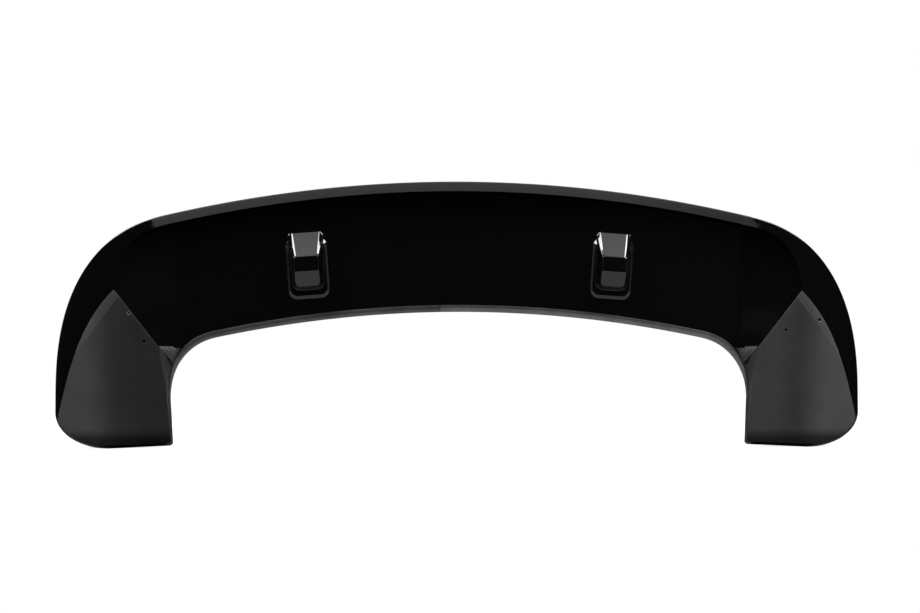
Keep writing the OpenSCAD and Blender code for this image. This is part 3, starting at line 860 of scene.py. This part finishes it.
def plate_tone_and_painted_light(t, out, z, low, inside, along_crease, outside):
    """A plate's tone inside, along and outside its crease, which is painted light growing towards the outer
    edge; darker towards the foot, with a painted highlight over the bevel and a brighter painted line at its
    edge.
    """
    off = line_side(t, out, z, CREASE_LINE)
    # Painted light: each crease field grows lighter towards the plate's outer edge.
    painted_crease_light = t.plus(t.ramp(off, -0.030, 0.0, inside, along_crease),
                   t.ramp(off, 0.0, 0.062, 0.0, outside - along_crease))
    off = t.math("SUBTRACT", BEVEL_W * MM, line_side(t, out, z, BEVEL_LINE))
    # Painted highlight: a paler bevel, with a brighter painted line along its inner edge.
    painted_bevel_line = t.times(t.ramp(off, -0.0010, 0.0, 0.0, 0.5), t.ramp(off, 0.0008, 0.0020, 1.0, 0.0))
    return t.plus(t.times(painted_crease_light, low), t.ramp(off, -0.0004, 0.0004, 0.0, 0.35), painted_bevel_line)


def matt_finish(name, base, spread, painted_plate_light=None, painted_glint=None, under=None):
    """A fine-grained matt plastic. fields gives a plate's painted light inside, along and outside its crease,
    burr a painted glint as a pale ring by a drilled hole, and under how much lighter the strip's lower side is
    painted."""
    m, t = material(name)
    where = t.add("ShaderNodeTexCoord")
    coord = where.outputs["Object"]
    x, _, z = t.split(coord)
    grain = t.noise(coord, 1100.0, 2.0, 0.6)
    cloud = t.noise(coord, 18.0, 4.0, 0.6)
    worn = t.noise(coord, 75.0, 5.0, 0.7, 0.4)
    dust = specks(t, coord, 160.0, 0.05, 0.12)
    tone = t.plus(t.ramp(cloud, 0.3, 0.7, 1 - spread, 1 + spread), t.ramp(worn, 0.6, 0.8, 0.0, 0.2),
                  t.ramp(grain, 0.3, 0.7, -0.12, 0.12, False), t.times(dust, 1.2))
    shine = t.times(cloud, 0.4)
    # Painted light: the strip is lighter where it faces down and darker where it faces up.
    if under:
        tone = t.times(tone, t.ramp(t.split(where.outputs["Normal"])[2], -0.60, 0.12, under, 0.3, False))
    # Painted light on the plates: lighter towards the outer edge, a painted highlight on the bevel, and darker
    # towards the foot.
    if painted_plate_light:
        low = t.ramp(z, 0.012, 0.032, 0.3, 1.0)
        tone = t.times(tone, plate_tone_and_painted_light(t, t.math("ABSOLUTE", x), z, low, *painted_plate_light))
        shine = t.times(low, 0.12)
    tone = t.times(tone, base)
    # A painted glint: a pale ring round a point by a drilled hole.
    if painted_glint:
        hole, inner, outer = painted_glint
        reach = t.add("ShaderNodeVectorMath", operation="DISTANCE", links={0: coord})
        reach.inputs[1].default_value = (hole[0] * MM, 0.0, hole[1] * MM)
        ring = t.times(t.ramp(reach.outputs["Value"], inner - 0.0003, inner, 0.0, 1.0),
                       t.ramp(reach.outputs["Value"], outer, outer + 0.0004, 1.0, 0.0))
        tone = t.plus(tone, t.times(ring, 0.07))
    bump = t.add("ShaderNodeBump", inputs={"Strength": 0.25, "Distance": 0.0003}, links={"Height": grain})
    bsdf = t.add("ShaderNodeBsdfPrincipled", inputs={"IOR": 1.5},
                 links={"Base Color": t.grey(tone), "Roughness": t.ramp(worn, 0.35, 0.75, 0.52, 0.64),
                        "Specular IOR Level": shine, "Normal": bump.outputs[0]})
    t.add("ShaderNodeOutputMaterial", links={"Surface": bsdf.outputs[0]})
    return m


def dress(obj, mat):
    fix_normals(obj)
    obj.data.materials.clear()
    obj.data.materials.append(mat)


# Painted glints by two drilled holes; the right one is centred 1.2 mm below its hole, so it shows only below.
upper, outer_hole = hole_at(HOLES_LEFT[0]), hole_at(HOLES_RIGHT[1])
left_painted_glint = ((-upper[0], upper[1]), 0.0020, 0.0026)
right_painted_glint = ((outer_hole[0], outer_hole[1] - 1.2), 0.0018, 0.0024)
dress(shell, gloss_finish("shell_gloss", True))
dress(panel, gloss_finish("panel_gloss", False))
# Plates: the three numbers are their painted light inside, along and outside the crease.
dress(plate_l, matt_finish("plate_matt_left", 0.0142, 0.10, (0.45, 0.6, 1.7), left_painted_glint))
dress(plate_r, matt_finish("plate_matt_right", 0.0160, 0.10, (1.1, 0.85, 2.0), right_painted_glint))
# Trims: the last number sets how much lighter the strip's lower side is painted.
dress(trim_l, matt_finish("trim_rubber_left", 0.03, 0.15, under=3.0))
dress(trim_r, matt_finish("trim_rubber_right", 0.03, 0.15, under=4.6))

# Floor: its colour is a middle grey for the light it gives back, and only the camera sees it white.
FLOOR_HALF, FLOOR_FRONT, FLOOR_Z = 6.0, -0.65, -0.0002
FLOOR_GREY, FLOOR_GLOW = 0.25, 0.75
floor_mesh = bpy.data.meshes.new("floor")
floor_mesh.from_pydata([(-FLOOR_HALF, FLOOR_FRONT, 0), (FLOOR_HALF, FLOOR_FRONT, 0),
                        (FLOOR_HALF, FLOOR_HALF, 0), (-FLOOR_HALF, FLOOR_HALF, 0)], [], [(0, 1, 2, 3)])
floor = bpy.data.objects.new("floor", floor_mesh)
floor.location.z = FLOOR_Z
bpy.context.scene.collection.objects.link(floor)
m, t = material("floor_pale")
pale = t.add("ShaderNodeBsdfDiffuse", inputs={"Color": grey(FLOOR_GREY)})
seen = t.add("ShaderNodeLightPath").outputs["Is Camera Ray"]
glow = t.add("ShaderNodeEmission", inputs={"Color": grey(1.0)}, links={"Strength": t.times(seen, FLOOR_GLOW)})
both = t.add("ShaderNodeAddShader", links={0: pale.outputs[0], 1: glow.outputs[0]})
t.add("ShaderNodeOutputMaterial", links={"Surface": both.outputs[0]})
floor_mesh.materials.append(m)


def softbox(name, at, aim, width, height, radiance):
    data = bpy.data.lights.new(name, "AREA")
    data.shape = "RECTANGLE"
    data.size, data.size_y = width, height
    data.energy = radiance * math.pi * width * height
    obj = bpy.data.objects.new(name, data)
    obj.location = at
    obj.rotation_euler = (Vector(aim) - Vector(at)).to_track_quat("-Z", "Y").to_euler()
    bpy.context.scene.collection.objects.link(obj)
    return obj


# Lamps: the two soft boxes make the white lines on the bosses, the fill only lights the matt pieces.
softbox("softbox_left", (-1.3, -0.6, 1.75), (0, -0.1, 0.28), 0.95, 1.12, 20.0)
softbox("softbox_right", (1.3, -0.6, 1.75), (0, -0.1, 0.28), 0.95, 1.12, 20.0)
fill = softbox("fill", (0.5, -2.6, 2.2), (0, 0, 0.2), 2.4, 1.6, 6.0)
fill.visible_glossy = False

# World: white to the camera, and to all else a dim room with a few paler parts that the gloss reflects.
ROOM_LEVEL = 0.01
world = bpy.data.worlds.new("studio")
bpy.context.scene.world = world
world.use_nodes = True
t = Nodes(world.node_tree)
x, y, z = t.split(t.add("ShaderNodeTexCoord").outputs["Generated"])
behind = t.ramp(y, -0.15, 0.45, 0.0, 0.55)
above = t.ramp(z, 0.70, 0.85, 0.0, 1.9)
beside = t.times(t.ramp(t.math("ABSOLUTE", x), 0.70, 0.90, 0.0, 0.4), t.ramp(z, 0.45, 0.6, 1.0, 0.0))
right = t.times(t.ramp(x, 0.04, 0.22, 0.0, 0.016), t.ramp(x, 0.3, 0.45, 1.0, 0.0))
left = t.times(t.ramp(x, -0.42, -0.22, 0.045, 0.0), t.ramp(x, -0.65, -0.55, 0.0, 1.0))
level = t.plus(behind, above, beside, right, left, ROOM_LEVEL)
room = t.add("ShaderNodeBackground", inputs={"Color": grey(1.0)}, links={"Strength": level})
white = t.add("ShaderNodeBackground", inputs={"Color": grey(1.0), "Strength": 1.0})
pick = t.add("ShaderNodeMixShader", links={0: t.add("ShaderNodeLightPath").outputs["Is Camera Ray"],
                                           1: room.outputs[0], 2: white.outputs[0]})
t.add("ShaderNodeOutputWorld", links={"Surface": pick.outputs[0]})

# Camera, as found from the photo's outline.
SENSOR, VIEW_ANGLE, CAMERA_AT, PITCH, YAW = 36.0, 35.989, (-0.0858, -2.2, 0.1579), 91.6, -2.19
camera_data = bpy.data.cameras.new("camera")
camera_data.sensor_fit = "HORIZONTAL"
camera_data.sensor_width = SENSOR
camera_data.lens = SENSOR / 2 / math.tan(math.radians(VIEW_ANGLE / 2))
camera = bpy.data.objects.new("camera", camera_data)
camera.location = CAMERA_AT
camera.rotation_euler = (math.radians(PITCH), 0, math.radians(YAW))
bpy.context.scene.collection.objects.link(camera)
bpy.context.scene.camera = camera
bpy.context.scene.view_settings.view_transform = "Standard"
